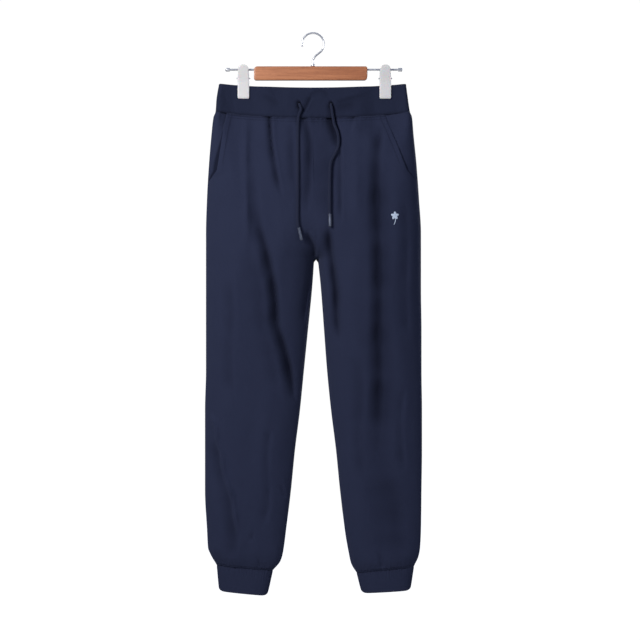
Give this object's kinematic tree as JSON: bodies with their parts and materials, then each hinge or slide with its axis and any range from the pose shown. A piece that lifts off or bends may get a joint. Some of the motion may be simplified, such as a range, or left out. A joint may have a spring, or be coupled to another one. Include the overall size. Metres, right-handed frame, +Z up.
{
  "type": "jogger sweatpants on a clip hanger",
  "caption": "Knit jogger trousers with a drawcord waistband, slant pockets and ribbed ankle cuffs, hanging from a wooden clip hanger.",
  "frame": {"origin": "inside the top of the hanger's hook, where it hangs on a rail", "axes": "+Z up along the hang, front of the trousers facing -Y, +X to the viewer's right (the wearer's left)"},
  "size_m": [0.434, 0.1248, 1.1257],
  "materials": {
    "jersey": "matt navy knit with a faint nap",
    "rib_knit": "matt navy fine rib",
    "cord": "matt navy braid",
    "cord_tip": "dull grey metal",
    "wood": "satin, warm red-brown",
    "clip_plastic": "smooth white",
    "steel": "bright"
  },
  "bodies": {
    "root": {"waistband": "rib_knit", "front_panel_left": "jersey", "back_panel_left": "jersey", "pocket_facing_left": "jersey", "cuff_left": "rib_knit", "drawcord_left": "cord", "cord_tip_left": "cord_tip", "front_panel_right": "jersey", "back_panel_right": "jersey", "pocket_facing_right": "jersey", "cuff_right": "rib_knit", "drawcord_right": "cord", "cord_tip_right": "cord_tip", "hanger_bar": "wood", "hanger_rod": "steel", "hanger_hook": "steel", "hook_collar": "steel", "rod_cap_left": "clip_plastic", "clip_front_jaw_left": "clip_plastic", "clip_back_jaw_left": "clip_plastic", "clip_pin_left": "steel", "clip_spring_left": "steel", "rod_cap_right": "clip_plastic", "clip_front_jaw_right": "clip_plastic", "clip_back_jaw_right": "clip_plastic", "clip_pin_right": "steel", "clip_spring_right": "steel"}
  },
  "joints": []
}
